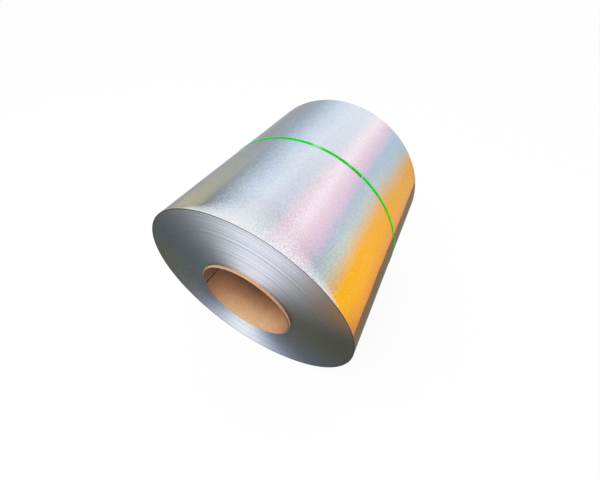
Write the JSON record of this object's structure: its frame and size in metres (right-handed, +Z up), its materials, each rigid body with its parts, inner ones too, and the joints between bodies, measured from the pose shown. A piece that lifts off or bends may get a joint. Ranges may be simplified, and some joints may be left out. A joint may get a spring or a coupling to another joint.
{
  "type": "steel coil",
  "caption": "Coil of galvanised sheet steel lying on its side, wound on a paper core with an open bore and held by one plastic strap.",
  "frame": {"origin": "on the floor, below the middle of the coil's axis", "axes": "+Y along the coil's axis from the near end to the far end, +Z up"},
  "size_m": [1.1721, 1.172, 1.1721],
  "materials": {
    "galvanised_steel": "satin",
    "core_paper": "matte",
    "strap_plastic": "gloss"
  },
  "bodies": {
    "root": {"steel_coil": "galvanised_steel", "paper_core": "core_paper", "strap": "strap_plastic"}
  },
  "joints": []
}
